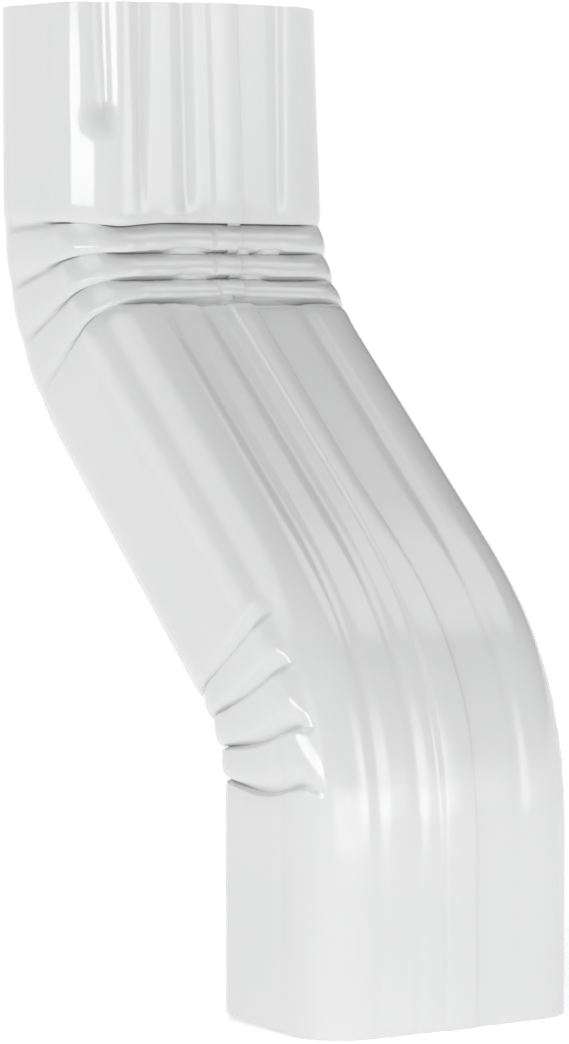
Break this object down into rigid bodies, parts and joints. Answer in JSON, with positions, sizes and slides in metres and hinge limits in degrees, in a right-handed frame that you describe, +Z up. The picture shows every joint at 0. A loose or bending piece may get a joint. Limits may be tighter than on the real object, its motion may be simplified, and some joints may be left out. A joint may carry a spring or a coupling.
{
  "type": "downspout elbow",
  "caption": "Offset elbow of fluted white sheet-metal tube with a lock seam and crimped bends, which carries rain water from a gutter outlet forward and down into a downspout.",
  "frame": {"origin": "centre of the inlet opening, in the plane of its rim", "axes": "+Z up, out of the inlet; -Y is the front, where the seam wall faces and the outlet is offset; X runs along the seam wall's width"},
  "size_m": [0.0762, 0.1583, 0.2451],
  "materials": {
    "white_enamel": "gloss baked enamel on aluminium sheet"
  },
  "bodies": {
    "root": {"downspout_elbow": "white_enamel"}
  },
  "joints": []
}
